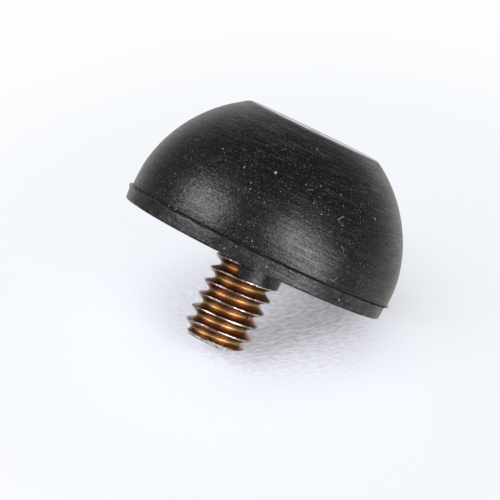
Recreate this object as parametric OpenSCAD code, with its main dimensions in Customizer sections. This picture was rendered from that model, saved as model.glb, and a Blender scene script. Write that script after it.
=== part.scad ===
// Rubber foot with a moulded-in threaded stud.
// The foot stands on its flat at z = 0 and the stud points up, as under a bench or an instrument.
// The origin is the centre of the flat. All sizes are in millimetres.

/* [Dome] */
// Diameter of the ball that the dome is cut from
dome_d = 25.4; // [22:0.1:32]
// Height of the rubber from the flat to the seat
body_h = 12.7; // [11.5:0.1:15]
// Diameter of the flat that meets the floor
flat_d = 12.7; // [9:0.1:17]

/* [Band] */
// Diameter of the band below the seat
band_d = 25.2; // [21:0.1:31]
// Height of the band from the parting line to the seat
band_h = 1.3; // [0.8:0.1:2.5]
// Radius on the corner between the band and the seat
corner_r = 0.2; // [0.1:0.05:0.5]
// Distance that the moulding flash stands out from the band
flash_out = 0.3; // [0.2:0.05:0.7]
// Thickness of the moulding flash where it leaves the band
flash_root_t = 0.14; // [0.1:0.01:0.3]
// Thickness of the moulding flash at its torn edge
flash_tip_t = 0.06; // [0.04:0.01:0.1]

/* [Stud] */
// Major diameter of the thread
thread_d = 6.35; // [5:0.05:8]
// Distance from one thread crest to the next
pitch = 1.27; // [1:0.01:1.5]
// Length of the stud outside the seat
stud_out = 8.7; // [5:0.1:20]
// Plain length between the seat and the foot of the first thread
thread_start = 0.11; // [0.05:0.01:1]
// Width of the chamfer at the end of the stud
end_chamfer = 1; // [0.4:0.05:1.2]
// Length of plain shank inside the rubber, from the seat to the head
stud_in = 4; // [2:0.1:4.5]
// Width of the hexagonal head across its flats
head_af = 11.1; // [9:0.1:13]
// Thickness of the hexagonal head
head_h = 4; // [2.5:0.1:4.5]

/* [Rubber in the thread] */
// Thickness of the rubber that covers the thread's crests
fill_skin = 0.03; // [0.02:0.01:0.1]
// Angle over which rubber fills the second groove of the thread
fill_angle = 200; // [30:5:330]
// Direction in which the filled part of the second groove ends
fill_end = -77; // [-180:1:180]

/* [Hidden] */
$fn = 96;

// Heights of the ball's centre, the parting line and the seat above the flat
ball_z = sqrt(pow(dome_d / 2, 2) - pow(flat_d / 2, 2));
seat_z = body_h;
parting_z = seat_z - band_h;

// Radius of the band and of the flash beside it
band_r = band_d / 2;
flash_r = band_r + flash_out;

// Unified thread form: a sharp V of 60 degrees with its crest cut flat and its root rounded off
sharp_h = pitch * cos(30);
crest_w = pitch / 8;
thread_depth = sharp_h * 17 / 24;
flank_w = thread_depth * tan(30);
crest_r = thread_d / 2;
root_r = crest_r - thread_depth;
// The thread is rolled on a blank of the pitch diameter, which is what the rubber grips
shank_r = crest_r - sharp_h * 3 / 8;
crest_count = floor((stud_out - thread_start - flank_w) / pitch) + 1;

// The rubber runs along the thread up to the near edge of the second crest
fill_r = crest_r + fill_skin;
first_fill_h = thread_start + flank_w;
second_fill_h = first_fill_h + pitch;

// One crest of the thread with its two flanks, as points that go along the stud
function crest(k) = let (z = thread_start + k * pitch) [
    [root_r, z],
    [crest_r, z + flank_w],
    [crest_r, z + flank_w + crest_w],
    [root_r, z + 2 * flank_w + crest_w],
];

// Half section of the thread, with ring-shaped grooves of the true profile
module thread_section() {
    crests = [for (k = [0 : crest_count - 1]) each crest(k)];
    tail_z = max(stud_out, crests[len(crests) - 1][1]) + pitch;
    polygon(concat([[0, 0], [root_r, 0]], crests, [[root_r, tail_z], [0, tail_z]]));
}

// Half section of a bar with a 45 degree chamfer at the stud's end
module bar_section() {
    over = crest_w;
    polygon([
        [0, 0],
        [crest_r + over, 0],
        [crest_r + over, stud_out - end_chamfer - over],
        [crest_r - end_chamfer, stud_out],
        [0, stud_out],
    ]);
}

module stud_solid() {
    translate([0, 0, seat_z])
        rotate_extrude()
            intersection() {
                thread_section();
                bar_section();
            }
    translate([0, 0, seat_z - stud_in])
        cylinder(r = shank_r, h = stud_in);
    translate([0, 0, seat_z - stud_in - head_h])
        cylinder(d = head_af / cos(30), h = head_h, $fn = 6);
}

// Ball cut off at the flat, whose edge narrows at 45 degrees to the band at the parting line
module dome() {
    intersection() {
        translate([0, 0, ball_z])
            sphere(d = dome_d);
        cylinder(r1 = band_r + parting_z, r2 = band_r, h = parting_z);
    }
}

// Band between the parting line and the seat, with a round corner
module band() {
    translate([0, 0, parting_z])
        rotate_extrude() {
            square([band_r, band_h - corner_r]);
            square([band_r - corner_r, band_h]);
            translate([band_r - corner_r, band_h - corner_r])
                circle(r = corner_r);
        }
}

// Thin fin of rubber that squeezed out between the two halves of the mould
module flash() {
    translate([0, 0, parting_z])
        rotate_extrude()
            polygon([
                [0, -flash_root_t / 2],
                [band_r, -flash_root_t / 2],
                [flash_r, -flash_tip_t / 2],
                [flash_r, flash_tip_t / 2],
                [band_r, flash_root_t / 2],
                [0, flash_root_t / 2],
            ]);
}

// Rubber that crept along the thread: all of the first groove and part of the second
module thread_fill() {
    translate([0, 0, seat_z]) {
        cylinder(r = fill_r, h = first_fill_h);
        rotate([0, 0, fill_end - fill_angle])
            rotate_extrude(angle = fill_angle)
                square([fill_r, second_fill_h]);
    }
}

module rubber_body() {
    color([0.12, 0.12, 0.12])
        difference() {
            union() {
                dome();
                band();
                flash();
                thread_fill();
            }
            stud_solid();
        }
}

module threaded_stud() {
    color([0.55, 0.36, 0.17])
        stud_solid();
}

rubber_body();
threaded_stud();
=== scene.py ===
import math

import bmesh
import bpy
import numpy as np
from mathutils import Matrix, Quaternion, Vector


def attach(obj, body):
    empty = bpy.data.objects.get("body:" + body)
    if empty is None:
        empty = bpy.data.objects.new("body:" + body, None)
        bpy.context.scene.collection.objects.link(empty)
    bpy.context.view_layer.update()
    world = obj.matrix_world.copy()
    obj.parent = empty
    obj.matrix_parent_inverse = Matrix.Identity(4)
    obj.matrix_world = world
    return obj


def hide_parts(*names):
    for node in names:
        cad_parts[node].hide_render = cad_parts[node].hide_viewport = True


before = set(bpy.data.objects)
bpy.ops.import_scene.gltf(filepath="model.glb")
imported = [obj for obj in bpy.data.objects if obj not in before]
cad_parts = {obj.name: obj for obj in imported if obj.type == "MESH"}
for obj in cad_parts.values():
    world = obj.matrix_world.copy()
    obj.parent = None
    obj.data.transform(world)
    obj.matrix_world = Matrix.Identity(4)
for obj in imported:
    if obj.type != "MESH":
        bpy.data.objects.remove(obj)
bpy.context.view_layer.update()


# ----------------------------------------
# Threaded stud: a steel screw, rolled to a right-hand 1/4-20 thread, zinc
# plated and passivated yellow-brown. Its plain shank and hexagonal head are
# moulded into the rubber, and 8.7 mm of thread stands out of the seat.
# ----------------------------------------

MM = 0.001
SEAT_Z = 12.7

THREAD_PITCH = 1.27
CREST_R = 3.185
CREST_ARC_R = 0.095
ROOT_ARC_R = 0.205
FLANK_SLOPE = 1 / math.tan(math.radians(30))
FIRST_CREST_H = 1.06

STUD_OUT = 8.7
END_Z = SEAT_Z + STUD_OUT
# The end was sawn off a little slanting, its front edge lower than its back edge, and one side is worn
END_W = 4.4
END_FRONT_DROP = 0.15
END_MIDDLE_Z = END_Z - END_FRONT_DROP / 2
END_SLANT = END_FRONT_DROP / END_W
WORN_FROM_X = -1.0
WORN_SLOPE = 0.42
# Radius and height above the seat add up to this on the turned chamfer
CONE_SUM = 10.88
SHANK_R = 2.76
SHANK_LENGTH = 4.0
HEAD_AF = 11.1
HEAD_H = 4.0
THREAD_FADE_FROM = 0.1
THREAD_FADE_TO = 0.7

# The film is painted pale gold in the root of the thread as a highlight, out to about the first radius, and
# it is rubbed off the crests from the second
ROOT_HIGHLIGHT_R = 2.5
BARE_R = 3.18
# Place and radius of two pits in the steel
STEEL_PITS = (((-1.84, -1.52, 17.68), 0.17), ((-2.21, -1.11, 19.11), 0.13))

CREST_ARC_W = CREST_ARC_R * math.cos(math.radians(30))
ROOT_ARC_W = ROOT_ARC_R * math.cos(math.radians(30))
SHARP_CREST_R = CREST_R + CREST_ARC_R
SHARP_ROOT_R = SHARP_CREST_R - THREAD_PITCH / 2 * FLANK_SLOPE


def wave_noise(points, scale, seed):
    """Smooth value noise from -1 to 1 at the points, whose lumps are about scale across."""
    rng = np.random.default_rng(seed)
    lattice = rng.uniform(-1, 1, (32, 32, 32))
    p = np.asarray(points, float) / scale + 1000
    cell = np.floor(p).astype(int)
    f = p - cell
    f = f * f * (3 - 2 * f)
    total = np.zeros(p.shape[:-1])
    for corner in range(8):
        step = np.array([corner & 1, corner >> 1 & 1, corner >> 2 & 1])
        weight = np.prod(np.where(step, f, 1 - f), axis=-1)
        i, j, k = np.moveaxis((cell + step) % 32, -1, 0)
        total = total + weight * lattice[i, j, k]
    return total


def smooth_step(low, high, x):
    t = np.clip((x - low) / (high - low), 0, 1)
    return t * t * (3 - 2 * t)


def thread_profile_r(offset):
    """Radius of the rolled thread at a distance along the stud from its nearest crest."""
    a = np.abs((offset + THREAD_PITCH / 2) % THREAD_PITCH - THREAD_PITCH / 2)
    flank = SHARP_CREST_R - a * FLANK_SLOPE
    near = np.minimum(a, CREST_ARC_R)
    crest = SHARP_CREST_R - 2 * CREST_ARC_R + np.sqrt(CREST_ARC_R**2 - near**2)
    from_root = np.minimum(THREAD_PITCH / 2 - a, ROOT_ARC_R)
    root = SHARP_ROOT_R + 2 * ROOT_ARC_R - np.sqrt(ROOT_ARC_R**2 - from_root**2)
    return np.where(a < CREST_ARC_W, crest, np.where(from_root < ROOT_ARC_W, root, flank))


def stud_r(angle, height):
    """Radius of the stud in a direction, at a height above the seat."""
    thread = thread_profile_r(height - FIRST_CREST_H - THREAD_PITCH * angle / (2 * math.pi))
    fade = smooth_step(THREAD_FADE_FROM, THREAD_FADE_TO, -height)
    return thread * (1 - fade) + SHANK_R * fade


def head_r(angle):
    """Distance from the axis to the side of the hexagonal head."""
    turned = angle % (math.pi / 3) - math.pi / 6
    return HEAD_AF / 2 / np.cos(turned)


def make_piece(name, vertices, faces):
    """A smooth-shaded mesh at the origin, from points in millimetres."""
    mesh = bpy.data.meshes.new(name)
    mesh.from_pydata([tuple(v) for v in np.asarray(vertices) * MM], [], [tuple(f) for f in faces])
    piece = bpy.data.objects.new(name, mesh)
    bpy.context.scene.collection.objects.link(piece)
    return piece


def thread_section_points():
    """Offsets along one pitch, closest together on the round root and the round crest."""
    half = THREAD_PITCH / 2
    root = [-half + ROOT_ARC_R * math.sin(math.radians(a)) for a in (0, 15, 30, 45, 60)]
    crest = [-CREST_ARC_R * math.sin(math.radians(a)) for a in (60, 42, 28, 14, 0)]
    flank = np.linspace(root[-1], crest[0], 6)[1:-1]
    left = root + list(flank) + crest
    return np.array(left + [-s for s in left[-2:0:-1]])


def crest_limit(turns, offset):
    """Radius that rubbing and nicks have cut the crests down to, along the helix."""
    rng = np.random.default_rng(11)
    line = np.stack([turns * 20, offset * 0, offset * 0], -1)
    limit = CREST_R - 0.014 - 0.012 * wave_noise(line, 1.6, 3) - 0.006 * wave_noise(line, 0.3, 4)
    limit = limit + 0.3 * wave_noise(line + 40, 2.2, 8) * offset
    for _ in range(60):
        where = rng.uniform(0, 8)
        depth = rng.uniform(0.02, 0.06)
        width = rng.uniform(0.003, 0.009)
        side = rng.uniform(-0.1, 0.1)
        dent = depth * np.exp(-(((turns - where) / width) ** 2))
        limit = limit - dent * np.exp(-(((offset - side) / 0.08) ** 2))
    return limit


def thread_tube():
    """The thread as an open tube whose rows follow the helix, with rubbed crests and a turned chamfer."""
    columns = 240
    section = thread_section_points()
    per_turn = len(section)
    turns = math.ceil((STUD_OUT + 4 * THREAD_PITCH) / THREAD_PITCH)
    row_s = np.concatenate([section + THREAD_PITCH * k for k in range(-2, turns)])
    row_s = row_s + FIRST_CREST_H
    col_a = np.arange(columns) * 2 * math.pi / columns
    angle = np.broadcast_to(col_a, (len(row_s), columns))
    height = row_s[:, None] + THREAD_PITCH * angle / (2 * math.pi)
    r = stud_r(angle, height)
    offset = (row_s[:, None] - FIRST_CREST_H + THREAD_PITCH / 2) % THREAD_PITCH - THREAD_PITCH / 2
    offset = np.broadcast_to(offset, height.shape)
    along = (height - offset - FIRST_CREST_H) / THREAD_PITCH
    r = np.where(np.abs(offset) < 0.2, np.minimum(r, crest_limit(along, offset)), r)
    ring = np.stack([5 * np.cos(angle), 5 * np.sin(angle), height], -1)
    cone = CONE_SUM - height + 0.02 * wave_noise(ring, 0.7, 5) + 0.012 * wave_noise(ring, 0.25, 6)
    r = np.minimum(r, np.maximum(cone, 1.5))
    points = np.stack([r * np.cos(angle), r * np.sin(angle), height + SEAT_Z], -1)
    faces = []
    last = len(row_s) - per_turn - 1
    for j in range(last):
        for i in range(columns - 1):
            a = j * columns + i
            faces.append((a, a + 1, a + 1 + columns, a + columns))
        # the seam, where one turn of the helix runs on into the next
        a = j * columns + columns - 1
        onward = (j + per_turn) * columns
        faces.append((a, onward, onward + columns, a + columns))
    return make_piece("threaded_stud_helix", points.reshape(-1, 3), faces)


def cut_off(bm, place, normal):
    """Cuts away what lies beyond a plane through a place in millimetres."""
    bmesh.ops.bisect_plane(
        bm,
        geom=bm.verts[:] + bm.edges[:] + bm.faces[:],
        plane_co=Vector(place) * MM,
        plane_no=normal,
        clear_outer=True,
    )


def next_ring(bm, edges, place):
    """Adds a ring of faces from the edges. Each new point's direction gives its radius and height."""
    grown = bmesh.ops.extrude_edge_only(bm, edges=edges)["geom"]
    for v in [g for g in grown if isinstance(g, bmesh.types.BMVert)]:
        direction = math.atan2(v.co.y, v.co.x)
        radius, z = place(direction)
        v.co = Vector((radius * math.cos(direction), radius * math.sin(direction), z)) * MM
    return [g for g in grown if isinstance(g, bmesh.types.BMEdge) and g.is_boundary]


def on_end(radius, dish):
    """Place of a ring on the sawn, worn and slightly dished end face."""

    def place(a):
        sawn = END_MIDDLE_Z + END_SLANT * radius * math.sin(a)
        worn = END_MIDDLE_Z + WORN_SLOPE * (radius * math.cos(a) - WORN_FROM_X)
        return radius, min(sawn, worn) - dish

    return place


def make_stud():
    """The thread, cut to length, with its end face, its plain shank and its hexagonal head."""
    stud = thread_tube()
    bm = bmesh.new()
    bm.from_mesh(stud.data)
    start_z = SEAT_Z - THREAD_FADE_TO - 0.15
    cut_off(bm, (0, 0, END_MIDDLE_Z), (0, -END_SLANT, 1))
    cut_off(bm, (WORN_FROM_X, 0, END_MIDDLE_Z), (-WORN_SLOPE, 0, 1))
    cut_off(bm, (0, 0, start_z), (0, 0, -1))
    bmesh.ops.remove_doubles(bm, verts=bm.verts[:], dist=1e-7)
    end_edges = [e for e in bm.edges if e.is_boundary and e.verts[0].co.z > (SEAT_Z + 1) * MM]
    start_edges = [e for e in bm.edges if e.is_boundary and e.verts[0].co.z < SEAT_Z * MM]

    for radius, dish in ((2.1, 0.0), (1.95, 0.04), (1.7, 0.06), (1.2, 0.09), (0.7, 0.11), (0.25, 0.12)):
        end_edges = next_ring(bm, end_edges, on_end(radius, dish))
    bmesh.ops.contextual_create(bm, geom=end_edges)
    neck_z = SEAT_Z - SHANK_LENGTH
    shank_and_head = (
        lambda a: (SHANK_R, start_z - 0.3),
        lambda a: (SHANK_R, neck_z),
        lambda a: (0.99 * float(head_r(a)), neck_z),
        lambda a: (float(head_r(a)), neck_z - 0.05),
        lambda a: (float(head_r(a)), neck_z - HEAD_H + 0.05),
        lambda a: (0.99 * float(head_r(a)), neck_z - HEAD_H),
        lambda a: (1.0, neck_z - HEAD_H),
    )
    for place in shank_and_head:
        start_edges = next_ring(bm, start_edges, place)
    bmesh.ops.contextual_create(bm, geom=start_edges)
    bmesh.ops.recalc_face_normals(bm, faces=bm.faces[:])
    for face in bm.faces:
        face.smooth = True
    bm.to_mesh(stud.data)
    bm.free()
    stud.data.set_sharp_from_angle(angle=math.radians(42))
    return stud


def linear(hex_colour):
    """An sRGB hex colour as a linear RGBA tuple."""
    channels = [int(hex_colour[i : i + 2], 16) / 255 for i in (1, 3, 5)]
    return tuple(c / 12.92 if c <= 0.04045 else ((c + 0.055) / 1.055) ** 2.4 for c in channels) + (1,)


def new_material(name):
    """An empty node material and its node tree."""
    material = bpy.data.materials.new(name)
    material.use_nodes = True
    material.node_tree.nodes.clear()
    return material, material.node_tree


def add(tree, kind, inputs=None, out=0, **settings):
    """Adds a node and gives one of its outputs. An input is a value, or a socket to link from."""
    node = tree.nodes.new(kind)
    for key, value in settings.items():
        setattr(node, key, value)
    for key, value in (inputs or {}).items():
        if isinstance(value, bpy.types.NodeSocket):
            tree.links.new(value, node.inputs[key])
        else:
            node.inputs[key].default_value = value
    return node.outputs[out]


def set_ramp(colour, stops):
    """Sets the stops of the colour ramp that gives this colour, as (position, hex colour)."""
    ramp = colour.node.color_ramp
    while len(ramp.elements) < len(stops):
        ramp.elements.new(1.0)
    for element, (position, hex_colour) in zip(ramp.elements, stops):
        element.position = position
        element.color = linear(hex_colour)


def above_crest(tree, x, y, height):
    """Distance along the stud from the middle of the nearest crest, in millimetres, above it positive."""
    angle = add(tree, "ShaderNodeMath", {0: y, 1: x}, operation="ARCTAN2")
    lead = add(tree, "ShaderNodeMath", {0: angle, 1: -THREAD_PITCH / 2 / math.pi}, operation="MULTIPLY")
    lead = add(tree, "ShaderNodeMath", {0: height, 1: lead}, operation="ADD")
    first_root_z = SEAT_Z + FIRST_CREST_H - THREAD_PITCH / 2
    lead = add(tree, "ShaderNodeMath", {0: lead, 1: first_root_z}, operation="SUBTRACT")
    lead = add(tree, "ShaderNodeMath", {0: lead, 1: THREAD_PITCH}, operation="FLOORED_MODULO")
    return add(tree, "ShaderNodeMath", {0: lead, 1: THREAD_PITCH / 2}, operation="SUBTRACT")


def passivated_steel():
    """Rolled steel, zinc plated and passivated yellow-brown. The film's colour carries painted light: a
    pale gold band in the root of the thread, with green and pink specks, is a painted highlight, and the
    deep red-brown of the flanks is painted shade. The worn crests and the lower rim of the turned chamfer
    are bare and bright, their paler and greyer streaks partly painted reflection, and a thin dark line of
    painted shade runs along the edge of the end."""
    material, tree = new_material("zinc plated steel, yellow-brown passivated, worn crests")
    place = add(tree, "ShaderNodeTexCoord", out="Object")
    in_mm = add(tree, "ShaderNodeVectorMath", {0: place, 1: (1000, 1000, 1000)}, operation="MULTIPLY")
    flat = add(tree, "ShaderNodeVectorMath", {0: in_mm, 1: (1, 1, 0)}, operation="MULTIPLY")
    radius = add(tree, "ShaderNodeVectorMath", {0: flat}, "Value", operation="LENGTH")
    x = add(tree, "ShaderNodeSeparateXYZ", {0: in_mm}, "X")
    y = add(tree, "ShaderNodeSeparateXYZ", {0: in_mm}, "Y")
    height = add(tree, "ShaderNodeSeparateXYZ", {0: in_mm}, "Z")

    above = above_crest(tree, x, y, height)

    # film colour: specks of interference colour about 0.15 mm wide over blotches about 1 mm wide
    speck = add(tree, "ShaderNodeTexNoise", {"Vector": in_mm, "Scale": 8.0, "Detail": 2.0})
    gold = add(tree, "ShaderNodeValToRGB", {"Fac": speck})
    set_ramp(gold, ((0.32, "#bd8f5e"), (0.44, "#d8b473"), (0.55, "#c3c389"), (0.66, "#e4b298")))
    blotch = add(tree, "ShaderNodeTexNoise", {"Vector": in_mm, "Scale": 1.6, "Detail": 5.0})
    brown = add(tree, "ShaderNodeValToRGB", {"Fac": blotch})
    set_ramp(brown, ((0.3, "#835236"), (0.5, "#985f3d"), (0.7, "#b1744b")))
    wobble = add(tree, "ShaderNodeMath", {0: blotch, 1: 0.16, 2: radius}, operation="MULTIPLY_ADD")
    # painted highlight and shade: the root of the thread is painted pale gold, the flanks a deeper brown
    rooted = add(tree, "ShaderNodeMath", {0: above, 1: -0.12, 2: wobble}, operation="MULTIPLY_ADD")
    painted_root_highlight = add(
        tree,
        "ShaderNodeMapRange",
        {"Value": rooted, "From Min": ROOT_HIGHLIGHT_R + 0.14, "From Max": ROOT_HIGHLIGHT_R},
    )
    film = add(
        tree,
        "ShaderNodeMix",
        {"Factor": painted_root_highlight, "A": brown, "B": gold},
        out="Result",
        data_type="RGBA",
    )

    # the turned chamfer took the film darkest, with paler streaks along the tool's path
    turned = add(tree, "ShaderNodeVectorMath", {0: in_mm, 1: (1, 1, 3)}, operation="MULTIPLY")
    streak = add(tree, "ShaderNodeTexNoise", {"Vector": turned, "Scale": 1.3, "Detail": 3.0})
    burnt_brown = add(tree, "ShaderNodeValToRGB", {"Fac": streak})
    set_ramp(burnt_brown, ((0.42, "#5f2f17"), (0.54, "#7c4324"), (0.6, "#c98e6c"), (0.66, "#8a4e2c")))
    on_chamfer = add(
        tree,
        "ShaderNodeMapRange",
        {"Value": height, "From Min": END_Z - 0.8, "From Max": END_Z - 0.65},
    )
    film = add(
        tree,
        "ShaderNodeMix",
        {"Factor": on_chamfer, "A": film, "B": burnt_brown},
        out="Result",
        data_type="RGBA",
    )

    # bare steel: the crests, rubbed most on the side of the stud's end, and the rim of the chamfer
    rubbed = add(tree, "ShaderNodeMath", {0: above, 1: 0.15, 2: wobble}, operation="MULTIPLY_ADD")
    crest = add(
        tree,
        "ShaderNodeMapRange",
        {"Value": rubbed, "From Min": BARE_R, "From Max": BARE_R + 0.05},
    )
    slant = add(tree, "ShaderNodeMath", {0: x, 1: -0.065, 2: height}, operation="MULTIPLY_ADD")
    slant = add(tree, "ShaderNodeMath", {0: blotch, 1: 0.3, 2: slant}, operation="MULTIPLY_ADD")
    rim = add(
        tree,
        "ShaderNodeMapRange",
        {"Value": slant, "From Min": END_Z - 0.34, "From Max": END_Z - 0.28},
    )
    # painted shade: the film's dark colour is kept in a thin line along the edge of the end
    painted_edge_shade = add(
        tree,
        "ShaderNodeMapRange",
        {"Value": height, "From Min": END_Z - 0.16, "From Max": END_Z - 0.2},
    )
    # bare steel, paler and greyer in streaks along the tool's path: partly painted reflection
    steel = add(tree, "ShaderNodeValToRGB", {"Fac": streak})
    set_ramp(steel, ((0.4, "#f6f3f0"), (0.5, "#c4beb9"), (0.55, "#a59f9b"), (0.62, "#f3f1ee")))
    bare = add(tree, "ShaderNodeMath", {0: crest, 1: rim}, operation="MAXIMUM")
    bare = add(tree, "ShaderNodeMath", {0: bare, 1: painted_edge_shade}, operation="MINIMUM")
    facing = add(tree, "ShaderNodeNewGeometry", out="Normal")
    facing = add(tree, "ShaderNodeSeparateXYZ", {0: facing}, "Z")
    end_face = add(tree, "ShaderNodeMapRange", {"Value": facing, "From Min": 0.86, "From Max": 0.9})
    end_face = add(tree, "ShaderNodeMath", {0: end_face, 1: on_chamfer}, operation="MULTIPLY")
    bare = add(tree, "ShaderNodeMath", {0: bare, 1: end_face}, operation="MAXIMUM")
    colour = add(tree, "ShaderNodeMix", {"Factor": bare, "A": film, "B": steel}, "Result", data_type="RGBA")
    # near-black spots at two places where the steel is pitted
    for pit, size in STEEL_PITS:
        away = add(tree, "ShaderNodeVectorMath", {0: in_mm, 1: pit}, "Value", operation="DISTANCE")
        dark = add(tree, "ShaderNodeMapRange", {"Value": away, "From Min": size, "From Max": size * 0.6})
        colour = add(
            tree,
            "ShaderNodeMix",
            {"Factor": dark, "A": colour, "B": linear("#15100d")},
            out="Result",
            data_type="RGBA",
        )
    grain = add(tree, "ShaderNodeTexNoise", {"Vector": in_mm, "Scale": 7.0, "Detail": 3.0})
    uneven = add(tree, "ShaderNodeMath", {0: on_chamfer, 1: streak}, operation="MULTIPLY")
    uneven = add(tree, "ShaderNodeMath", {0: uneven, 1: 6.0, 2: grain}, operation="MULTIPLY_ADD")
    rough = add(tree, "ShaderNodeMapRange", {"Value": grain, "To Min": 0.22, "To Max": 0.42})
    rough = add(tree, "ShaderNodeMath", {0: painted_root_highlight, 1: 0.14, 2: rough}, operation="MULTIPLY_ADD")
    bump = add(tree, "ShaderNodeBump", {"Height": uneven, "Strength": 0.8, "Distance": 0.00002}, "Normal")
    shader = add(
        tree,
        "ShaderNodeBsdfPrincipled",
        {"Base Color": colour, "Metallic": 1.0, "Roughness": rough, "Normal": bump},
    )
    tree.links.new(shader, tree.nodes.new("ShaderNodeOutputMaterial").inputs["Surface"])
    return material


stud = make_stud()
stud.data.materials.append(passivated_steel())
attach(stud, "root")
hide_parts("threaded_stud")


# ----------------------------------------
# Rubber foot: black rubber moulded round the stud in a two-part mould, which
# leaves a fin of flash and a small step at the parting line. Some rubber crept
# along the thread and set there.
# ----------------------------------------

BALL_R = 12.7
BALL_Z = 11.0
PARTING_Z = 11.4
BAND_R = 12.6
BAND_DRAFT = 0.05
# The two halves of the mould stood a little off centre, to opposite sides
BALL_SHIFT = -0.07
BAND_SHIFT = 0.09
CORNER_R = 0.12
SEAT_R = 12.2
SEAT_SUNK = 0.012
GROOVE_R = BAND_R - 0.12
FLASH_MAX_R = 12.893
GATE_R = 0.55

# Rubber in the thread: direction of its near end, radius, and how far the rubber reaches into the steel
FILL_END = math.radians(-77)
FILL_R = 3.24
SKIN_GRIP = 0.01
# Its height above the seat and how full it is, by degrees back from its near end
FILL_HEIGHTS = (
    (0, 1.86), (13, 1.84), (60, 1.78), (103, 1.72), (150, 1.38),
    (195, 0.8), (225, 0.25), (240, 0.0), (359.5, 0.0), (360, 1.86),
)
FILL_SHARES = ((0, 1), (225, 1), (238, 0), (359.9, 0), (360, 1))

# Radius and height along the flat, which is hollow inside a low round lip and has the gate's mark in
# its middle
FLAT_PROFILE = (
    (0, 0.002), (0.16, 0.005), (0.32, 0.013), (0.45, 0.026), (GATE_R, 0.045),
    (1.5, 0.045), (3, 0.044), (4.4, 0.043), (5.3, 0.042), (5.65, 0.04),
    (5.76, 0.034), (5.84, 0.02), (5.9, 0.006), (5.96, 0.0), (6.02, 0.002),
    (6.13, 0.02), (6.27, 0.058), (6.42, 0.12), (6.58, 0.205), (6.76, 0.317),
)

# Grains of grit stuck to the rubber: turn from the front in degrees, height and radius. Most were
# marked, and a helper program turned the marks into these numbers
GRITS = (
    (8, 4.5, 0.11), (43, 11.2, 0.07), (39, 11.2, 0.06), (-47.5, 4.5, 0.08), (-41.5, 12.1, 0.08),
    (36.5, 4.7, 0.06), (-6, 1.2, 0.06), (-55, 0.3, 0.06), (-17.5, 9.4, 0.06), (11.5, 12.2, 0.06),
    (21.5, 5.3, 0.05), (15, 6.2, 0.05), (14, 6.7, 0.05), (-25, 3.8, 0.05), (-13, 5.4, 0.05),
    (-18, 6, 0.05), (-67, 5.9, 0.05), (29.5, 10.6, 0.05), (7.5, 11.6, 0.05), (3.5, 10.6, 0.05),
    (-6.5, 12, 0.05), (48.5, 8.5, 0.04), (50, 4.1, 0.04), (38.5, 6.9, 0.04), (18, 7.2, 0.04),
    (-34, 8.4, 0.04), (-43, 8.5, 0.04), (-46, 11.9, 0.04), (38.5, 11.1, 0.04),
)

# Hairline scratches and fibres: turn and height of both ends, mostly found in the same way, and how
# white they are
HAIRLINES = (
    ((-26, 5.8), (-28.5, 5.4), 0.6), ((-26, 5.8), (-27.5, 6), 0.4), ((-28.4, 6.1), (-29.5, 6.1), 0.6),
    ((-31, 7.8), (-32.5, 7.9), 0.25), ((-32.5, 7.9), (-33, 8.2), 0.25), ((-32, 10.7), (-33.5, 10.8), 0.4),
    ((-33.5, 10.8), (-35, 10.3), 0.3), ((39.5, 9.2), (39, 9.5), 0.5), ((35.5, 6.1), (27.5, 6.1), 0.06),
    ((30.5, 7.8), (20.5, 7.7), 0.1), ((36, 7.8), (31.5, 7.7), 0.1), ((-19.5, 12.6), (-20.5, 12.3), 0.4),
    ((-50, 12.6), (-50.5, 12.3), 0.4), ((-9, 4.6), (-11, 4.4), 0.25), ((14, 12.2), (12.5, 12), 0.2),
)


def ball_profile(tilt):
    """Radius, height and sideways shift of the ball at a tilt from straight down, in degrees. The real
    one is a little slim near the flat, and its mould half sat off centre."""
    a = math.radians(tilt)
    toward_band = float(smooth_step(45, 85, tilt))
    reach = BALL_R - 0.06 * (1 - toward_band) - 0.05 * float(smooth_step(80, 90, tilt))
    shift = BALL_SHIFT * (0.6 + 0.4 * toward_band)
    return reach * math.sin(a), BALL_Z - reach * math.cos(a), shift


def band_side_r(above_parting):
    """Radius of the band at a height above the parting line, with a little draft."""
    return BAND_R + 0.03 - BAND_DRAFT * (above_parting - 0.1)


def on_rubber(turn, z):
    """A point on the ball or on the band, in millimetres."""
    a = math.radians(turn)
    if z < PARTING_Z:
        r, z, shift = ball_profile(math.degrees(math.acos((BALL_Z - z) / BALL_R)))
    else:
        r = band_side_r(z - PARTING_Z)
        shift = BAND_SHIFT
    return Vector((r * math.sin(a) + shift, -r * math.cos(a), z))


def rubber_columns():
    """Directions of the mesh columns, with close ones where the rubber in the thread ends."""
    even = np.arange(480) * 2 * math.pi / 480 - math.pi
    near = np.abs(even - FILL_END) < math.radians(0.5)
    extra = FILL_END + np.radians([-0.1, 0.1, 0.5])
    return np.sort(np.concatenate([even[~near], extra]))


def ring_row(r, z, angle, shift=0.0):
    """A row of points round the axis. The radius and the height are numbers, or one for each point."""
    r = np.broadcast_to(r, len(angle)).astype(float)
    z = np.broadcast_to(z, len(angle)).astype(float)
    return np.stack([r * np.cos(angle) + shift, r * np.sin(angle), z], -1)


def rim_noise(angle, scale, seed, height=0.0):
    """Noise along the rim, at one height."""
    rim = ring_row(BALL_R, height, angle)
    return wave_noise(rim, scale, seed)


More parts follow.
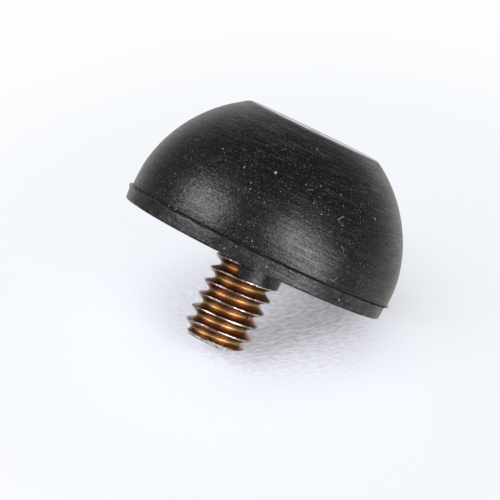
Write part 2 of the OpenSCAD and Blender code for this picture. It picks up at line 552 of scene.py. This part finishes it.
def outer_rows(angle):
    """Rows from the middle of the flat over the ball, the flash and the band to the edge of the seat."""
    rows = [ring_row(r, z, angle) for r, z in FLAT_PROFILE]
    for tilt in np.linspace(33.2, 90.7, 53):
        r, z, shift = ball_profile(tilt)
        rows.append(ring_row(r, z, angle, shift))

    # how far the fin of flash stands out, lifts and sags, and how much rubber fills the groove under it
    side = np.cos(angle)
    left = smooth_step(0.7, 0.99, side)
    ragged = smooth_step(0.1, 0.5, side)
    torn = 0.02 * rim_noise(angle, 0.9, 21) + 0.02 * rim_noise(angle, 0.3, 22)
    stands = 0.06 + 0.14 * smooth_step(0.6, 0.97, side) + 0.28 * smooth_step(0.6, 0.97, -side)
    stands = stands + 0.1 * smooth_step(0.2, 0.6, np.sin(angle))
    half = BAND_SHIFT / 2
    fin_r = np.minimum(BAND_R + stands + torn, FLASH_MAX_R - half * side)
    lift = 0.05 * smooth_step(0.4, 0.95, -side) + 0.08 * smooth_step(0.85, 1, side)
    lift = lift + 0.02 * rim_noise(angle, 2.0, 23) + 0.02 * rim_noise(angle, 0.45, 26)
    lift = lift + 0.05 * ragged * rim_noise(angle, 0.5, 33)
    sag = 0.09 * smooth_step(0.75, 0.97, -side) + 0.09 * smooth_step(0.8, 1, side)
    sag = sag + 0.015 * rim_noise(angle, 0.5, 28) + 0.015 * rim_noise(angle, 1.7, 30)
    sag = sag + 0.06 * ragged * rim_noise(angle, 0.55, 34)
    filled = 0.06 * smooth_step(-0.1, 0.5, rim_noise(angle, 0.8, 29)) + 0.04 * smooth_step(0.5, 0.9, side)
    filled = filled + 0.08 * ragged * smooth_step(0.1, 0.4, rim_noise(angle, 0.5, 35))

    # rounded edge of the ball, and the groove under the fin
    edge_z = PARTING_Z - 0.17 + sag
    fin_z = PARTING_Z - 0.1 + lift
    rows.append(ring_row(BALL_R - 0.06, edge_z, angle, BALL_SHIFT))
    rows.append(ring_row(BALL_R - 0.09, edge_z + 0.025, angle, BALL_SHIFT))
    rows.append(ring_row(BALL_R - 0.15, edge_z + 0.04, angle))
    rows.append(ring_row(GROOVE_R + filled, edge_z + 0.045, angle))
    rows.append(ring_row(GROOVE_R + filled, np.maximum(fin_z, edge_z + 0.055), angle, half))
    # fin, which curls down at one end, and runs into the band where it is thick
    tip_z = fin_z - 0.08 * smooth_step(0.9, 1, -side)
    rest = fin_r - BAND_R
    rows.append(ring_row(BAND_R - 0.03, fin_z + 0.01, angle, half))
    rows.append(ring_row(fin_r - 0.04, tip_z + 0.035, angle, half))
    rows.append(ring_row(fin_r - 0.01, tip_z + 0.045, angle, half))
    rows.append(ring_row(fin_r, tip_z + 0.06, angle, half))
    rows.append(ring_row(fin_r - 0.004, tip_z + 0.08, angle, half))
    rows.append(ring_row(fin_r - 0.02, tip_z + 0.1, angle, half + 0.01))
    rows.append(ring_row(BAND_R + rest * (0.35 + 0.5 * left), fin_z + 0.13, angle, BAND_SHIFT))
    rows.append(ring_row(BAND_R + 0.02 + rest * (0.05 + 0.65 * left), fin_z + 0.19, angle, BAND_SHIFT))
    # band and its round corner
    for up, share in ((0.2, 0.45), (0.28, 0.3), (0.45, 0.14), (0.65, 0.05), (0.85, 0), (1.02, 0), (1.1, 0)):
        z = PARTING_Z + up
        wavy = 0.008 * rim_noise(angle, 1.2, 24, z) + 0.004 * rim_noise(angle, 0.3, 27, z)
        rows.append(ring_row(band_side_r(up) + rest * share * left + wavy, z, angle, BAND_SHIFT))
    dents = 0.05 * np.maximum(rim_noise(angle, 0.7, 25) - 0.5, 0) / 0.5
    for turn in (15, 30, 45, 60, 75, 90):
        a = math.radians(turn)
        r = BAND_R - 0.02 - CORNER_R + CORNER_R * math.cos(a) - dents
        z = SEAT_Z - CORNER_R + CORNER_R * math.sin(a) - dents * 0.6
        rows.append(ring_row(r, z, angle, BAND_SHIFT))
    return rows


def inner_rows(col_a):
    """Rows from the edge of the seat over the rubber in the thread, and down the hole for the stud."""
    foot_r = 3.6
    rows = []
    for r in (SEAT_R, 11.8, 11, 10, 9, 8, 7, 6, 5.2, 4.6, 4.1, 3.8, foot_r):
        share = (r - foot_r) / (SEAT_R - foot_r)
        rows.append(ring_row(r, SEAT_Z - SEAT_SUNK * (1 - share), col_a, BAND_SHIFT * share))

    # wall of the rubber in the thread, whose near end slants
    back = np.degrees((FILL_END - col_a) % (2 * math.pi))
    top = np.interp(back, *zip(*FILL_HEIGHTS))
    full = np.interp(back, *zip(*FILL_SHARES))
    near_end = np.exp(-((np.where(back > 180, back - 360, back) / 25) ** 2))

    def slanted(z):
        lean = np.radians(2.6 - 2.7 * z)
        wobble = 0.006 * np.sin(5 * z + 1) + 0.004 * np.sin(13 * z)
        return col_a + (lean + wobble) * near_end

    rows.append(ring_row(3.45, SEAT_Z - SEAT_SUNK + 0.01 * full, col_a))
    for share in (0, 0.02, 0.05, 0.1, 0.2, 0.32, 0.45, 0.58, 0.7, 0.8, 0.88, 0.94, 0.98):
        z = top * share
        angle = slanted(z)
        hug = stud_r(angle, z) - SKIN_GRIP
        lump = wave_noise(np.stack([3 * np.cos(angle), 3 * np.sin(angle), z], -1), 0.7, 31)
        wall = FILL_R + 0.035 * smooth_step(40, 110, back) + 0.012 * lump + 0.1 * np.exp(-z / 0.05)
        rows.append(ring_row(hug + full * (wall - hug), SEAT_Z + z, angle))
    # its top
    for share, drop in ((0.97, 0.004), (0.9, 0.0), (0.7, 0.0), (0.45, 0.01), (0.2, 0.02), (0, 0.03)):
        z = np.maximum(top - drop, 0)
        angle = slanted(top)
        hug = stud_r(angle, z) - SKIN_GRIP
        rows.append(ring_row(hug + full * (FILL_R + 0.02 - hug) * share, SEAT_Z + z, angle))
    # hole for the stud: along the thread, then round the shank and the head
    for share in (0.93, 0.86, 0.79, 0.72, 0.65, 0.58, 0.51, 0.44, 0.37, 0.3, 0.22, 0.14, 0.07, 0):
        z = top * share
        angle = slanted(z)
        rows.append(ring_row(stud_r(angle, z) - SKIN_GRIP, SEAT_Z + z, angle))
    for z in (-0.1, -0.2, -0.32, -0.44, -0.56, -0.7, -1.2, -SHANK_LENGTH):
        rows.append(ring_row(stud_r(col_a, z) - SKIN_GRIP, SEAT_Z + z, col_a))
    neck_z = SEAT_Z - SHANK_LENGTH
    rows.append(ring_row(head_r(col_a) - SKIN_GRIP, neck_z - SKIN_GRIP, col_a))
    rows.append(ring_row(head_r(col_a) - SKIN_GRIP, neck_z - HEAD_H + SKIN_GRIP, col_a))
    rows.append(ring_row(0.0, neck_z - HEAD_H + SKIN_GRIP, col_a))
    return rows


def make_rubber():
    """The whole rubber moulding as one closed mesh of rows and columns."""
    col_a = rubber_columns()
    rows = outer_rows(col_a) + inner_rows(col_a)
    columns = len(col_a)
    faces = []
    for j in range(len(rows) - 1):
        for i in range(columns):
            n = (i + 1) % columns
            a = j * columns
            faces.append((a + i, a + columns + i, a + columns + n, a + n))
    rubber = make_piece("rubber_foot_body", np.concatenate(rows), faces)
    bm = bmesh.new()
    bm.from_mesh(rubber.data)
    bmesh.ops.remove_doubles(bm, verts=bm.verts[:], dist=3e-7)
    bmesh.ops.recalc_face_normals(bm, faces=bm.faces[:])
    for face in bm.faces:
        face.smooth = True
    bm.to_mesh(rubber.data)
    bm.free()
    rubber.data.set_sharp_from_angle(angle=math.radians(50))
    return rubber


def mould_rings(tree, in_mm):
    """Noise drawn out along the mould's rings: 0.19 mm apart along the ball's outline, and each a few
    millimetres long."""
    from_ball = add(tree, "ShaderNodeVectorMath", {0: in_mm, 1: (0, 0, BALL_Z)}, operation="SUBTRACT")
    way = add(tree, "ShaderNodeVectorMath", {0: from_ball}, operation="NORMALIZE")
    down = add(tree, "ShaderNodeSeparateXYZ", {0: way}, "Z")
    arc = add(tree, "ShaderNodeMath", {0: down}, operation="ARCCOSINE")
    arc = add(tree, "ShaderNodeMath", {0: arc, 1: BALL_R * 5.3}, operation="MULTIPLY")
    lengthwise = add(tree, "ShaderNodeVectorMath", {0: in_mm, 1: (0.4, 0.4, 0)}, operation="MULTIPLY")
    across = add(tree, "ShaderNodeCombineXYZ", {"Z": arc})
    ringed = add(tree, "ShaderNodeVectorMath", {0: lengthwise, 1: across}, operation="ADD")
    return add(tree, "ShaderNodeTexNoise", {"Vector": ringed, "Scale": 1.0, "Detail": 2.0})


def seam_dirt_and_shade(tree, x, height, patch, crumbs):
    """Where old dirt and painted shade fill the groove under the fin of flash: in a ragged line, which
    rises at both sides."""
    line = add(tree, "ShaderNodeMath", {0: patch, 1: 0.1, 2: height}, operation="MULTIPLY_ADD")
    line = add(tree, "ShaderNodeMath", {0: crumbs, 1: 0.8, 2: line}, operation="MULTIPLY_ADD")
    sideways = add(tree, "ShaderNodeMath", {0: x}, operation="ABSOLUTE")
    risen = add(
        tree,
        "ShaderNodeMapRange",
        {"Value": sideways, "From Min": BALL_R - 1.4, "From Max": BALL_R, "To Max": 0.1},
    )
    line = add(tree, "ShaderNodeMath", {0: line, 1: risen}, operation="SUBTRACT")
    under = add(
        tree,
        "ShaderNodeMapRange",
        {"Value": line, "From Min": PARTING_Z + 0.03, "From Max": PARTING_Z - 0.04, "To Max": 0.8},
    )
    over = add(
        tree,
        "ShaderNodeMapRange",
        {"Value": line, "From Min": PARTING_Z - 0.12, "From Max": PARTING_Z - 0.08},
    )
    return add(tree, "ShaderNodeMath", {0: under, 1: over}, operation="MULTIPLY")


def dust_film(tree, height, rings, fine, bump):
    """How much dust lies on the rubber: thin face-on, dense edge-on, caught by the grain and by the
    rings near the flat."""
    edge_on = add(tree, "ShaderNodeLayerWeight", {"Blend": 0.5, "Normal": bump}, "Facing")
    edge_on = add(tree, "ShaderNodeMath", {0: edge_on, 1: 4.0}, operation="POWER")
    film = add(tree, "ShaderNodeMath", {0: edge_on, 1: 0.65}, operation="MULTIPLY")
    caught = add(
        tree,
        "ShaderNodeMapRange",
        {"Value": fine, "From Min": 0.58, "From Max": 0.72, "To Max": 0.09},
    )
    film = add(tree, "ShaderNodeMath", {0: film, 1: caught}, operation="ADD")
    low = add(
        tree,
        "ShaderNodeMapRange",
        {"Value": height, "From Min": 6.0, "From Max": 0.0, "To Min": 0.02, "To Max": 0.08},
    )
    lined = add(
        tree,
        "ShaderNodeMapRange",
        {"Value": rings, "From Min": 0.52, "From Max": 0.72, "To Max": low},
    )
    return add(tree, "ShaderNodeMath", {0: film, 1: lined}, operation="ADD")


def fine_grit(tree, in_mm, film):
    """The film with grit of three sizes, in drifts some millimetres wide."""
    settled = add(tree, "ShaderNodeTexNoise", {"Vector": in_mm, "Scale": 0.4, "Detail": 2.0})
    settled = add(
        tree,
        "ShaderNodeMapRange",
        {"Value": settled, "From Min": 0.38, "From Max": 0.62, "To Min": 0.25, "To Max": 1.1},
    )
    for scale, size, share in ((5.0, 0.3, 0.55), (2.2, 0.14, 0.7), (0.8, 0.06, 0.9)):
        cell = add(tree, "ShaderNodeTexVoronoi", {"Vector": in_mm, "Scale": scale}, "Distance")
        chance = add(tree, "ShaderNodeSeparateXYZ", {0: cell.node.outputs["Color"]}, "X")
        chance = add(tree, "ShaderNodeMath", {0: chance, 1: 3.0}, operation="POWER")
        chance = add(tree, "ShaderNodeMath", {0: chance, 1: settled}, operation="MULTIPLY")
        white = add(tree, "ShaderNodeMath", {0: chance, 1: share}, operation="MULTIPLY")
        grit = add(
            tree,
            "ShaderNodeMapRange",
            {"Value": cell, "From Min": size, "From Max": size * 0.6, "To Max": white},
        )
        film = add(tree, "ShaderNodeMath", {0: film, 1: grit}, operation="MAXIMUM")
    return film


def coarse_grit(tree, in_mm, film):
    """The film with the grains of GRITS."""
    for turn, z, size in GRITS:
        grain = tuple(on_rubber(turn, z))
        away = add(tree, "ShaderNodeVectorMath", {0: in_mm, 1: grain}, "Value", operation="DISTANCE")
        grit = add(
            tree,
            "ShaderNodeMapRange",
            {"Value": away, "From Min": size * 1.4, "From Max": size * 0.7, "To Max": 0.9},
        )
        film = add(tree, "ShaderNodeMath", {0: film, 1: grit}, operation="MAXIMUM")
    return film


def hairlines(tree, in_mm, film):
    """The film with the lines of HAIRLINES, each 0.06 mm wide."""
    for start, end, white in HAIRLINES:
        begin = on_rubber(*start)
        along = on_rubber(*end) - begin
        from_begin = add(tree, "ShaderNodeVectorMath", {0: in_mm, 1: tuple(begin)}, operation="SUBTRACT")
        part = add(
            tree,
            "ShaderNodeVectorMath",
            {0: from_begin, 1: tuple(along / along.length_squared)},
            out="Value",
            operation="DOT_PRODUCT",
        )
        part = add(tree, "ShaderNodeClamp", {"Value": part})
        nearest = add(tree, "ShaderNodeVectorMath", {0: tuple(along), "Scale": part}, operation="SCALE")
        away = add(tree, "ShaderNodeVectorMath", {0: from_begin, 1: nearest}, "Value", operation="DISTANCE")
        line = add(
            tree,
            "ShaderNodeMapRange",
            {"Value": away, "From Min": 0.045, "From Max": 0.015, "To Max": white},
        )
        film = add(tree, "ShaderNodeMath", {0: film, 1: line}, operation="MAXIMUM")
    return film


def moulded_rubber():
    """Black rubber from a turned mould: a satin sheen, broken up by grain and by the mould's rings,
    under pale dust, grit and hairlines. The flat is smoother, and mirrors what it faces edge-on."""
    material, tree = new_material("moulded black rubber, satin, dusty")
    place = add(tree, "ShaderNodeTexCoord", out="Object")
    in_mm = add(tree, "ShaderNodeVectorMath", {0: place, 1: (1000, 1000, 1000)}, operation="MULTIPLY")
    x = add(tree, "ShaderNodeSeparateXYZ", {0: in_mm}, "X")
    height = add(tree, "ShaderNodeSeparateXYZ", {0: in_mm}, "Z")
    facing = add(tree, "ShaderNodeNewGeometry", out="Normal")
    facing = add(tree, "ShaderNodeSeparateXYZ", {0: facing}, "Z")

    # all but the flat, whose gate mark is rough again
    off_flat = add(tree, "ShaderNodeMapRange", {"Value": facing, "From Min": -0.97, "From Max": -0.94})
    outward = add(tree, "ShaderNodeVectorMath", {0: in_mm}, "Value", operation="LENGTH")
    gate = add(
        tree,
        "ShaderNodeMapRange",
        {"Value": outward, "From Min": GATE_R + 0.05, "From Max": GATE_R},
    )
    off_flat = add(tree, "ShaderNodeMath", {0: off_flat, 1: gate}, operation="MAXIMUM")

    # duller and brighter patches about 1 mm wide, and grain 0.18 and 0.12 mm wide
    patch = add(tree, "ShaderNodeTexNoise", {"Vector": in_mm, "Scale": 1.0, "Detail": 4.0})
    grain = add(tree, "ShaderNodeTexNoise", {"Vector": in_mm, "Scale": 5.6, "Detail": 2.0})
    fine = add(tree, "ShaderNodeTexNoise", {"Vector": in_mm, "Scale": 8.0, "Detail": 1.0})

    # relief: grain, and rings that are faint on one side and on the seat
    rings = mould_rings(tree, in_mm)
    polished = add(
        tree,
        "ShaderNodeMapRange",
        {"Value": x, "From Min": -1.0, "From Max": 6.0, "To Min": 0.8, "To Max": 0.4},
    )
    on_seat = add(
        tree,
        "ShaderNodeMapRange",
        {"Value": facing, "From Min": 0.9, "From Max": 0.95, "To Min": 1.0, "To Max": 0.15},
    )
    keenness = add(tree, "ShaderNodeMath", {0: polished, 1: on_seat}, operation="MULTIPLY")
    ringing = add(tree, "ShaderNodeMath", {0: rings, 1: 0.5}, operation="SUBTRACT")
    ringing = add(tree, "ShaderNodeMath", {0: ringing, 1: keenness}, operation="MULTIPLY")
    relief = add(tree, "ShaderNodeMath", {0: ringing, 1: grain}, operation="ADD")
    # the side with the faint rings has dimples 0.35 mm wide instead
    worn_side = add(
        tree,
        "ShaderNodeMapRange",
        {"Value": x, "From Min": 0.0, "From Max": 6.0, "To Max": 1.1},
    )
    dimples = add(tree, "ShaderNodeTexNoise", {"Vector": in_mm, "Scale": 2.9, "Detail": 0.0})
    raised = add(tree, "ShaderNodeMath", {0: dimples, 1: worn_side, 2: relief}, operation="MULTIPLY_ADD")
    strength = add(tree, "ShaderNodeMapRange", {"Value": off_flat, "To Min": 0.05, "To Max": 1.0})
    bump = add(
        tree,
        "ShaderNodeBump",
        {"Height": raised, "Strength": strength, "Distance": 0.000019},
        out="Normal",
    )

    # rubber, paler and blotchy on the band and on the rubber in the thread
    dull = add(
        tree,
        "ShaderNodeMapRange",
        {"Value": height, "From Min": PARTING_Z - 0.1, "From Max": PARTING_Z},
    )
    blotchy = add(tree, "ShaderNodeValToRGB", {"Fac": patch})
    set_ramp(blotchy, ((0.35, "#222221"), (0.5, "#353433"), (0.65, "#454341")))
    colour = add(
        tree,
        "ShaderNodeMix",
        {"Factor": dull, "A": linear("#191918"), "B": blotchy},
        out="Result",
        data_type="RGBA",
    )
    rough = add(tree, "ShaderNodeMapRange", {"Value": patch, "To Min": 0.25, "To Max": 0.42})
    rough = add(
        tree,
        "ShaderNodeMix",
        {"Factor": off_flat, "A": 0.16, "B": rough},
        out="Result",
        data_type="FLOAT",
    )
    body = add(
        tree,
        "ShaderNodeBsdfPrincipled",
        {
            "Base Color": colour,
            "Roughness": rough,
            "IOR": 1.5,
            "Specular IOR Level": 0.7,
            "Normal": bump,
        },
    )

    # painted shade where the relief is low, and old dirt with painted shade along the seam: both are dull
    # and near black
    painted_hollow_shade = add(
        tree,
        "ShaderNodeMapRange",
        {"Value": relief, "From Min": 0.7, "From Max": 0.3, "To Max": 0.62},
    )
    painted_hollow_shade = add(tree, "ShaderNodeMath", {0: painted_hollow_shade, 1: off_flat}, operation="MULTIPLY")
    crumbs = add(tree, "ShaderNodeMath", {0: fine, 1: 0.5}, operation="SUBTRACT")
    crumbs = add(tree, "ShaderNodeMath", {0: crumbs, 1: worn_side}, operation="MULTIPLY")
    dirt_and_shade = seam_dirt_and_shade(tree, x, height, patch, crumbs)
    dark = add(tree, "ShaderNodeMath", {0: painted_hollow_shade, 1: dirt_and_shade}, operation="MAXIMUM")
    black = add(tree, "ShaderNodeBsdfDiffuse", {"Color": linear("#181412")})
    body = add(tree, "ShaderNodeMixShader", {0: dark, 1: body, 2: black})

    # dust, grit and hairlines, with little of them on the flat and none on the dirt and painted shade of
    # the seam
    film = dust_film(tree, height, rings, fine, bump)
    film = fine_grit(tree, in_mm, film)
    film = coarse_grit(tree, in_mm, film)
    film = hairlines(tree, in_mm, film)
    clean = add(tree, "ShaderNodeMapRange", {"Value": off_flat, "To Min": 0.1, "To Max": 1.0})
    film = add(tree, "ShaderNodeMath", {0: film, 1: clean}, operation="MULTIPLY")
    bared = add(tree, "ShaderNodeMath", {0: 1.0, 1: dirt_and_shade}, operation="SUBTRACT")
    film = add(tree, "ShaderNodeMath", {0: film, 1: bared}, operation="MULTIPLY")
    dust = add(tree, "ShaderNodeBsdfDiffuse", {"Color": linear("#bfbab5"), "Normal": bump})
    dusty = add(tree, "ShaderNodeMixShader", {0: film, 1: body, 2: dust})
    tree.links.new(dusty, tree.nodes.new("ShaderNodeOutputMaterial").inputs["Surface"])
    return material


rubber = make_rubber()
rubber.data.materials.append(moulded_rubber())
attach(rubber, "root")
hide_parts("rubber_body")


# ----------------------------------------
# Floor and backdrop: pale paper under the flat, and a sheet of the same paper
# that the tipped foot leans on, with its rim and the end of its stud.
# ----------------------------------------

# Direction square to the leaning sheet, its distance from the origin, and the way its ripples run
LEAN = Vector((-0.3527, 0.5389, 0.765)).normalized()
LEAN_AT = 17.8
LEAN_LAID = Vector((-0.72, 0.37, -0.59))


def pale_paper(name, clear_from, clear_to):
    """Matt white paper with a fine laid grain, seen from its front only. Near the foot it glows with
    painted light, painted darker as shadow where the foot stands close over it. Where nothing stands over
    it, it is plain white, and its edge fades into the surroundings."""
    material, tree = new_material(name)
    place = add(tree, "ShaderNodeTexCoord", out="Object")
    in_mm = add(tree, "ShaderNodeVectorMath", {0: place, 1: (1000, 1000, 1000)}, operation="MULTIPLY")
    reach = add(tree, "ShaderNodeVectorMath", {0: place}, "Value", operation="LENGTH")
    fade = add(
        tree,
        "ShaderNodeMapRange",
        {"Value": reach, "From Min": clear_from, "From Max": clear_to},
        interpolation_type="SMOOTHSTEP",
    )
    behind = add(tree, "ShaderNodeNewGeometry", out="Backfacing")
    hidden = add(tree, "ShaderNodeMath", {0: fade, 1: behind}, operation="MAXIMUM")
    open_to_room = add(tree, "ShaderNodeAmbientOcclusion", {"Distance": 0.05}, "AO", samples=16)
    # ripples 0.4 mm apart and almost 1 mm long, which show most in the shade, partly as bumps and partly
    # painted into the glow
    laid = add(tree, "ShaderNodeVectorMath", {0: in_mm, 1: (1.4, 2.4, 1)}, operation="MULTIPLY")
    ripple = add(tree, "ShaderNodeTexNoise", {"Vector": laid, "Scale": 1.0, "Detail": 2.0})
    shade = add(
        tree,
        "ShaderNodeMapRange",
        {"Value": open_to_room, "From Min": 0.3, "From Max": 0.6, "To Min": 0.9, "To Max": 0.1},
    )
    bump = add(tree, "ShaderNodeBump", {"Height": ripple, "Strength": shade, "Distance": 0.0002}, "Normal")
    # painted light and shadow: a glow, painted dimmer where the foot stands close over the paper
    rippled = add(tree, "ShaderNodeMath", {0: ripple, 1: 0.5}, operation="SUBTRACT")
    rippled = add(tree, "ShaderNodeMath", {0: rippled, 1: shade}, operation="MULTIPLY")
    rippled = add(tree, "ShaderNodeMath", {0: rippled, 1: 0.7, 2: open_to_room}, operation="MULTIPLY_ADD")
    glow = add(tree, "ShaderNodeValToRGB", {"Fac": rippled})
    set_ramp(glow, ((0.0, "#747173"), (0.3, "#9f9ea1"), (0.62, "#b9babd"), (1.0, "#d2d4d7")))
    matt = add(tree, "ShaderNodeBsdfDiffuse", {"Color": linear("#b1b6be"), "Normal": bump})
    painted_shadow_glow = add(tree, "ShaderNodeEmission", {"Color": glow})
    paper_with_painted_shadow = add(tree, "ShaderNodeAddShader", {0: matt, 1: painted_shadow_glow})
    plain = add(tree, "ShaderNodeEmission", {"Color": linear("#f3f6fa")})
    clear_of_foot = add(
        tree,
        "ShaderNodeMapRange",
        {"Value": open_to_room, "From Min": 0.55, "From Max": 0.95},
    )
    paper = add(tree, "ShaderNodeMixShader", {0: clear_of_foot, 1: paper_with_painted_shadow, 2: plain})
    clear = add(tree, "ShaderNodeBsdfTransparent")
    mixed = add(tree, "ShaderNodeMixShader", {0: hidden, 1: paper, 2: clear})
    tree.links.new(mixed, tree.nodes.new("ShaderNodeOutputMaterial").inputs["Surface"])
    return material


def make_sheet(name, centre, normal, laid_along, half_width, material):
    """A square of paper that faces along its normal, with its ripples laid in a direction. It is seen by
    the camera only, and neither lights nor shades the foot."""
    mesh = bpy.data.meshes.new(name)
    w = half_width
    mesh.from_pydata([(-w, -w, 0), (w, -w, 0), (w, w, 0), (-w, w, 0)], [], [(0, 1, 2, 3)])
    sheet = bpy.data.objects.new(name, mesh)
    bpy.context.scene.collection.objects.link(sheet)
    across = normal.cross(laid_along).normalized()
    turn = Matrix((across.cross(normal), across, normal)).transposed().to_4x4()
    sheet.matrix_world = Matrix.Translation(centre) @ turn
    mesh.materials.append(material)
    sheet.visible_diffuse = False
    sheet.visible_glossy = False
    sheet.visible_transmission = False
    sheet.visible_shadow = False
    return sheet


floor = make_sheet(
    "floor",
    Vector((0, 0, -0.00002)),
    Vector((0, 0, 1)),
    Vector((1, 0, 0)),
    0.6,
    pale_paper("white paper floor", 0.08, 0.3),
)
leaning = make_sheet(
    "leaning paper",
    LEAN * LEAN_AT * MM,
    -LEAN,
    LEAN_LAID,
    0.12,
    pale_paper("white paper backdrop", 0.02, 0.055),
)


# ----------------------------------------
# Lights: two soft boxes near the level of the foot, one on each side of the
# camera, in a dim room with white paper behind the foot and above it.
# ----------------------------------------

LAMP_AWAY = 0.4


def soft_box(name, toward, half_width, half_height, roll, radiance):
    """A flat lamp that faces the foot, of a width and height in degrees as the foot sees it."""
    data = bpy.data.lights.new(name, "AREA")
    data.shape = "RECTANGLE"
    data.size = 2 * LAMP_AWAY * math.tan(math.radians(half_width))
    data.size_y = 2 * LAMP_AWAY * math.tan(math.radians(half_height))
    data.energy = radiance * math.pi * data.size * data.size_y
    data.color = linear("#fdf9ff")[:3]
    lamp = bpy.data.objects.new(name, data)
    lamp.location = toward * LAMP_AWAY + Vector((0, 0, 8)) * MM
    facing = toward.to_track_quat("Z", "Y") @ Quaternion((0, 0, 1), math.radians(roll))
    lamp.rotation_euler = facing.to_euler()
    bpy.context.scene.collection.objects.link(lamp)
    return lamp


def heading(azimuth, elevation):
    """Direction from the foot, azimuth 0 towards -Y and 90 towards +X, in degrees."""
    a = math.radians(azimuth)
    e = math.radians(elevation)
    return Vector((math.sin(a) * math.cos(e), -math.cos(a) * math.cos(e), math.sin(e)))


# Their directions and sizes come from a program that fitted the sheen on the rubber
soft_box("left soft box", heading(56.8, -6.9), 18, 11, 0, 7.2)
soft_box("right soft box", heading(-32.8, -7.6), 25, 13.3, -31, 6.9)

# A low light that skims the papers from the left, and reaches nothing else
papers = bpy.data.collections.new("papers")
papers.objects.link(floor)
papers.objects.link(leaning)
skimming = soft_box("light along the paper", heading(55, 20), 12, 12, 0, 16)
skimming.light_linking.receiver_collection = papers

# Pale parts of the room, the brightest behind the foot: direction, sharpness and brightness. The last
# four rows are that program's own
PALE_PARTS = (
    (heading(185, 68), 3.0, 0.95),
    (heading(204, -19), 12.0, 0.83),
    (heading(168, 1), 12.0, 1.51),
    (heading(166, -42), 12.0, 0.85),
    (heading(255, 1), 12.0, 0.61),
)
DIM = 0.03

world = bpy.data.worlds.new("pale room")
bpy.context.scene.world = world
world.use_nodes = True
tree = world.node_tree
tree.nodes.clear()
outward = add(tree, "ShaderNodeTexCoord", out="Generated")
pale = DIM
for toward, sharpness, brightness in PALE_PARTS:
    near = add(
        tree,
        "ShaderNodeVectorMath",
        {0: outward, 1: tuple(toward)},
        out="Value",
        operation="DOT_PRODUCT",
    )
    near = add(tree, "ShaderNodeClamp", {"Value": near})
    near = add(tree, "ShaderNodeMath", {0: near, 1: sharpness}, operation="POWER")
    pale = add(tree, "ShaderNodeMath", {0: near, 1: brightness, 2: pale}, operation="MULTIPLY_ADD")
to_camera = add(tree, "ShaderNodeLightPath", out="Is Camera Ray")
in_metal = add(tree, "ShaderNodeLightPath", out="Is Glossy Ray")
in_glass = add(tree, "ShaderNodeLightPath", out="Is Transmission Ray")
pale = add(tree, "ShaderNodeMath", {0: pale, 1: to_camera}, operation="ADD", use_clamp=True)
room = add(
    tree,
    "ShaderNodeMix",
    {"Factor": pale, "A": linear("#000000"), "B": linear("#fdfeff")},
    out="Result",
    data_type="RGBA",
)
seen = add(tree, "ShaderNodeMath", {0: to_camera, 1: in_metal}, operation="MAXIMUM")
seen = add(tree, "ShaderNodeMath", {0: seen, 1: in_glass}, operation="MAXIMUM")
strength = add(tree, "ShaderNodeMapRange", {"Value": seen, "To Min": 0.9, "To Max": 1.0})
back = add(tree, "ShaderNodeBackground", {"Color": room, "Strength": strength})
tree.links.new(back, tree.nodes.new("ShaderNodeOutputWorld").inputs["Surface"])
bpy.context.scene.view_settings.view_transform = "Standard"


# ----------------------------------------
# Camera: a quarter of a metre in front of the foot and just below its flat,
# rolled so that the stud hangs down to the left. A program fitted its place, direction and lens to
# the outlines of the foot.
# ----------------------------------------

CAMERA_AT = Vector((0.547, -251.048, -4.262))
CAMERA_AHEAD = Vector((0, 0.99786, 0.06537)).normalized()
CAMERA_RIGHT = Vector((-0.90008, 0.02849, -0.43480)).normalized()

camera_data = bpy.data.cameras.new("camera")
camera_data.lens = 201.53
camera_data.sensor_width = 36
camera_data.clip_start = 0.01
camera_data.clip_end = 10
camera = bpy.data.objects.new("camera", camera_data)
bpy.context.scene.collection.objects.link(camera)
bpy.context.scene.camera = camera
upward = CAMERA_RIGHT.cross(CAMERA_AHEAD)
turn = Matrix((CAMERA_RIGHT, upward, -CAMERA_AHEAD)).transposed().to_4x4()
camera.matrix_world = Matrix.Translation(CAMERA_AT * MM) @ turn
